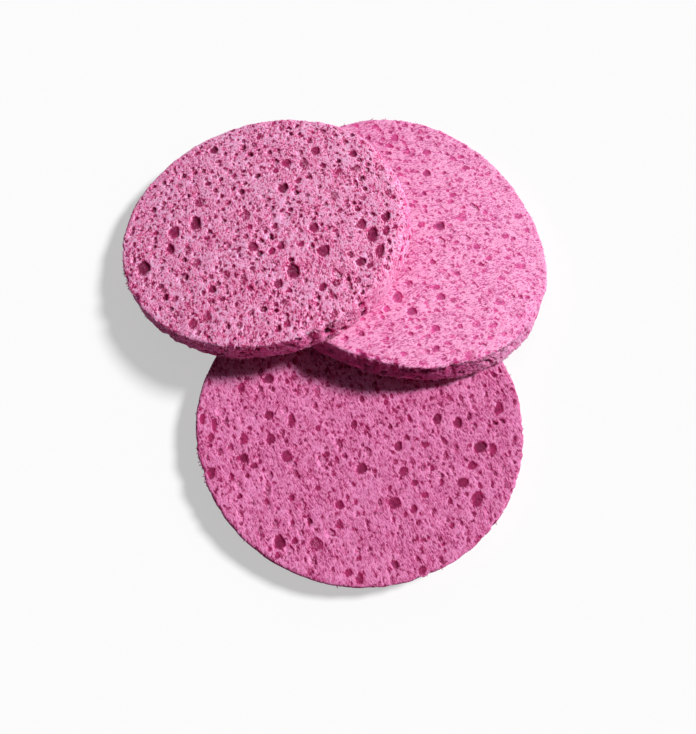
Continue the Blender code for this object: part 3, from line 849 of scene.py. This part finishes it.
def foam_material(name, foam):
    """Matt cellulose foam: a net of pale fibres over gaps darkened with painted shade, and painted shade
    inside the open cells.
    """
    material = bpy.data.materials.new(name)
    material.use_nodes = True
    nodes, links = material.node_tree.nodes, material.node_tree.links
    shader = nodes["Principled BSDF"]
    shader.inputs["Roughness"].default_value = 0.85
    shader.inputs["Specular IOR Level"].default_value = 0.05
    shader.inputs["Subsurface Radius"].default_value = (1.0, 0.65, 0.82)
    shader.inputs["Subsurface Scale"].default_value = 0.9 * MM

    def texture(kind, vector, scale, **settings):
        node = nodes.new(kind)
        links.new(vector, node.inputs["Vector"])
        node.inputs["Scale"].default_value = scale
        for key, value in settings.items():
            node.inputs[key].default_value = value
        return node

    def math_node(operation, a, b):
        node = nodes.new("ShaderNodeMath")
        node.operation = operation
        for socket, value in zip(node.inputs, (a, b)):
            if isinstance(value, (int, float)):
                socket.default_value = value
            else:
                links.new(value, socket)
        return node.outputs[0]

    def vector_node(operation, a, b):
        node = nodes.new("ShaderNodeVectorMath")
        node.operation = operation
        links.new(a, node.inputs[0])
        if isinstance(b, tuple):
            node.inputs[1].default_value = b
        elif isinstance(b, float):
            node.inputs["Scale"].default_value = b
        else:
            links.new(b, node.inputs[1])
        return node.outputs[0]

    def mixed(factor, a, b, blend="MIX"):
        node = nodes.new("ShaderNodeMix")
        node.data_type = "RGBA"
        node.blend_type = blend
        for socket, value in ((node.inputs[6], a), (node.inputs[7], b)):
            if isinstance(value, tuple):
                socket.default_value = (*value, 1)
            else:
                links.new(value, socket)
        links.new(factor, node.inputs[0])
        return node.outputs[2]

    def ranged(value, low, high, to_low, to_high):
        node = nodes.new("ShaderNodeMapRange")
        node.interpolation_type = "SMOOTHSTEP"
        links.new(value, node.inputs["Value"])
        for key, number in zip(("From Min", "From Max", "To Min", "To Max"), (low, high, to_low, to_high)):
            node.inputs[key].default_value = number
        return node.outputs["Result"]

    def trait(label):
        """One of the values that the mesh carries at its points."""
        node = nodes.new("ShaderNodeAttribute")
        node.attribute_name = label
        return node.outputs["Fac"]

    # the foam is drawn out in one direction, and its cells are irregular; the scales are features per metre
    coordinates = nodes.new("ShaderNodeTexCoord")
    drawn = nodes.new("ShaderNodeMapping")
    drawn.vector_type = "TEXTURE"
    drawn.inputs["Rotation"].default_value = (0, 0, math.radians(foam["flow"]))
    drawn.inputs["Scale"].default_value = (foam["drawn"], 1, 1)
    links.new(coordinates.outputs["Object"], drawn.inputs["Vector"])
    wander = texture("ShaderNodeTexNoise", drawn.outputs[0], 900, Detail=1.0)
    shift = vector_node("SCALE", vector_node("SUBTRACT", wander.outputs["Color"], (0.5, 0.5, 0.5)), 0.45 * MM)
    place = vector_node("ADD", drawn.outputs[0], shift)

    pits = texture("ShaderNodeTexVoronoi", place, 1800)
    own = nodes.new("ShaderNodeSeparateColor")
    links.new(pits.outputs["Color"], own.inputs[0])
    wide = math_node("MULTIPLY", own.outputs[0], 0.24)
    pit = ranged(math_node("SUBTRACT", pits.outputs["Distance"], wide), 0.10, 0.32, 1, 0)
    fibres = texture("ShaderNodeTexNoise", place, 4200, Detail=2.0, Roughness=0.6)
    fine = ranged(fibres.outputs["Fac"], 0.30, 0.70, -0.5, 0.5)
    patches = texture("ShaderNodeTexNoise", coordinates.outputs["Object"], 160, Detail=3.0, Roughness=0.6)

    def strands(scale, width):
        """1 along thin winding lines and 0 between them."""
        source = texture("ShaderNodeTexNoise", place, scale, Detail=1.0)
        off = math_node("ABSOLUTE", math_node("SUBTRACT", source.outputs["Fac"], 0.5), 0)
        return ranged(off, 0.0, width, 1, 0)

    def net(scale, width, patch):
        """1 along the thin walls between small bubbles, which are missing in places, and 0 between them."""
        walls = texture("ShaderNodeTexVoronoi", place, scale)
        walls.feature = "DISTANCE_TO_EDGE"
        whole = texture("ShaderNodeTexNoise", place, patch, Detail=1.0)
        line = ranged(walls.outputs["Distance"], 0.0, width, 1, 0)
        return math_node("MULTIPLY", line, ranged(whole.outputs["Fac"], 0.38, 0.60, 0.15, 1))

    # 1 on top of a fibre, 0 in a gap, and smoother inside the open cells
    hollow, cell_shade, loose = trait("cavity"), trait("cell_shade"), trait("loose")
    height = math_node("SUBTRACT", 0.30, math_node("MULTIPLY", pit, foam["pits"]))
    nets = ((net(1750, 0.18, 1100), 0.54), (net(3000, 0.22, 1800), 0.36))
    for layer, weight in (*nets, (strands(1900, 0.09), 0.24), (fine, 0.46)):
        height = math_node("ADD", height, math_node("MULTIPLY", layer, weight))
    contrast = ranged(cell_shade, 0.1, 0.9, foam["contrast"], foam["contrast"] * 0.7)
    contrast = math_node("MULTIPLY", contrast, ranged(trait("lit"), 0, 1, 1, 0.55))
    level = math_node("MULTIPLY", math_node("SUBTRACT", height, 0.5), contrast)
    height = math_node("ADD", level, 0.5)
    tone = math_node("ADD", height, ranged(patches.outputs["Fac"], 0.3, 0.7, -0.16, 0.16))

    # the deeper pink in the gaps of the net is painted shade
    skin = mixed(ranged(tone, -0.05, 0.45, 0, 1), foam["deep"], foam["middle"])
    skin = mixed(ranged(tone, 0.35, 0.95, 0, 1), skin, foam["pale"])
    # fibres cross the edges of the cells, and the painted shade inside the cells is darker in their own gaps
    # and darkest where they are deepest
    clouds = texture("ShaderNodeTexNoise", coordinates.outputs["Object"], 800, Detail=3.0, Roughness=0.65)
    cloud = ranged(clouds.outputs["Fac"], 0.35, 0.65, 0, 0.65)
    cloud = math_node("ADD", cloud, math_node("MULTIPLY", tone, 0.45))
    deepest_shade, dark, light = (tuple(c * share for c in foam["inside"]) for share in (0.38, 0.60, 1.15))
    bowl = mixed(ranged(cloud, 0.05, 0.85, 0, 1), dark, light)
    bowl = mixed(ranged(hollow, 0.08, 0.26, 0, 0.75), bowl, deepest_shade)
    edge = math_node("SUBTRACT", cell_shade, math_node("MULTIPLY", math_node("SUBTRACT", height, 0.4), 0.55))
    filled = math_node("MULTIPLY", ranged(edge, 0.0, 0.75, 0, 0.95), ranged(cell_shade, 0.0, 0.2, 0, 1))
    skin = mixed(filled, skin, bowl)
    skin = mixed(ranged(hollow, 0.35, 0.90, 0, 0.6), skin, bowl)
    skin = mixed(ranged(loose, 0, 1, 0, 0.6), skin, foam["pale"])
    # light goes on under the skin, but not inside the loose fibres
    links.new(ranged(loose, 0, 1, 0.8, 0), shader.inputs["Subsurface Weight"])
    # painted shade on the walls and flanks turned from the key lamp, and painted dimming where it shines full
    # on the rims and walls
    for label, low, tint in (("side", 0.1, foam["wall"]), ("lee_shade", 0.0, FLANK_SHADE_TINT), ("lit", 0.0, LIT_DIMMING_TINT)):
        skin = mixed(ranged(trait(label), low, 1.0, 0, 1), skin, tint, "MULTIPLY")
    links.new(skin, shader.inputs["Base Color"])

    bump = nodes.new("ShaderNodeBump")
    bump.inputs["Strength"].default_value = 1.0
    bump.inputs["Distance"].default_value = foam["relief"] * MM
    links.new(height, bump.inputs["Height"])
    links.new(bump.outputs["Normal"], shader.inputs["Normal"])
    return material


def add_camera():
    """The camera of the photograph."""
    data = bpy.data.cameras.new("camera")
    camera = added("camera", data)
    data.sensor_fit = "HORIZONTAL"
    data.sensor_width = 36
    data.lens = data.sensor_width * FOCAL_PIXELS / PHOTO_WIDTH
    data.clip_start = 0.005
    ahead = Vector((0, math.cos(CAMERA_DOWN), -math.sin(CAMERA_DOWN)))
    level = Vector((1, 0, 0))
    rise = level.cross(ahead)
    right = level * math.cos(CAMERA_ROLL) + rise * math.sin(CAMERA_ROLL)
    up = rise * math.cos(CAMERA_ROLL) - level * math.sin(CAMERA_ROLL)
    turned = Matrix((right, up, -ahead)).transposed().to_4x4()
    camera.matrix_world = Matrix.Translation(CAMERA_PLACE) @ turned
    bpy.context.scene.camera = camera


def seen_directly(nodes, links):
    """1 for what the camera sees, straight or in a gloss or glass, and 0 for light that bounces on."""
    path = nodes.new("ShaderNodeLightPath")
    total = path.outputs["Is Camera Ray"]
    for label in ("Is Glossy Ray", "Is Transmission Ray"):
        larger = nodes.new("ShaderNodeMath")
        larger.operation = "MAXIMUM"
        links.new(total, larger.inputs[0])
        links.new(path.outputs[label], larger.inputs[1])
        total = larger.outputs[0]
    return total


def add_floor():
    """A pale floor that keeps the shadows, and throws little light back on the sponges."""
    mesh = bpy.data.meshes.new("floor")
    reach = 2.0
    corners = [(-reach, -reach, 0), (reach, -reach, 0), (reach, reach, 0), (-reach, reach, 0)]
    mesh.from_pydata(corners, [], [(0, 1, 2, 3)])
    floor = added("floor", mesh)
    material = bpy.data.materials.new("floor_paper")
    material.use_nodes = True
    nodes, links = material.node_tree.nodes, material.node_tree.links
    seen = seen_directly(nodes, links)
    paper = nodes["Principled BSDF"]
    paper.inputs["Roughness"].default_value = 0.9
    paper.inputs["Specular IOR Level"].default_value = 0.0
    tint = nodes.new("ShaderNodeMix")
    tint.data_type = "RGBA"
    links.new(seen, tint.inputs[0])
    tint.inputs[6].default_value = (FLOOR_THROWN, FLOOR_THROWN, FLOOR_THROWN, 1)
    tint.inputs[7].default_value = (FLOOR_SEEN, FLOOR_SEEN, FLOOR_SEEN, 1)
    links.new(tint.outputs[2], paper.inputs["Base Color"])
    white = nodes.new("ShaderNodeEmission")
    white.inputs["Color"].default_value = (BACKDROP, BACKDROP, BACKDROP, 1)
    white.inputs["Strength"].default_value = 1.0
    share = nodes.new("ShaderNodeMath")
    share.operation = "MULTIPLY"
    links.new(seen, share.inputs[0])
    share.inputs[1].default_value = BACKDROP_SHARE
    blend = nodes.new("ShaderNodeMixShader")
    links.new(share.outputs[0], blend.inputs["Fac"])
    links.new(paper.outputs[0], blend.inputs[1])
    links.new(white.outputs[0], blend.inputs[2])
    links.new(blend.outputs[0], nodes["Material Output"].inputs["Surface"])
    mesh.materials.append(material)


def add_light():
    """A little even light from all round, and one soft key lamp."""
    world = bpy.data.worlds.new("studio")
    bpy.context.scene.world = world
    world.use_nodes = True
    nodes, links = world.node_tree.nodes, world.node_tree.links
    background = nodes["Background"]
    background.inputs["Color"].default_value = (1, 1, 1, 1)
    strength = nodes.new("ShaderNodeMapRange")
    links.new(seen_directly(nodes, links), strength.inputs["Value"])
    strength.inputs["To Min"].default_value = LEVEL * SKY
    strength.inputs["To Max"].default_value = BACKDROP
    links.new(strength.outputs["Result"], background.inputs["Strength"])
    data = bpy.data.lights.new("key", "SUN")
    height, heading = math.radians(KEY_HEIGHT), math.radians(KEY_HEADING)
    data.energy = LEVEL * (1 - SKY) * math.pi / math.sin(height)
    data.angle = math.radians(KEY_WIDTH)
    lamp = added("key", data)
    level = math.cos(height)
    towards = Vector((level * math.cos(heading), level * math.sin(heading), math.sin(height)))
    lamp.rotation_euler = towards.to_track_quat("Z", "Y").to_euler()


add_camera()
add_floor()
add_light()
for name in ("bottom", "right", "left"):
    piece = sponge(name)
    piece.data.materials.append(foam_material(name + "_foam", FOAM[name]))
    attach(piece, name)
    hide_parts(name + "_sponge")

bpy.context.scene.view_settings.view_transform = "Standard"
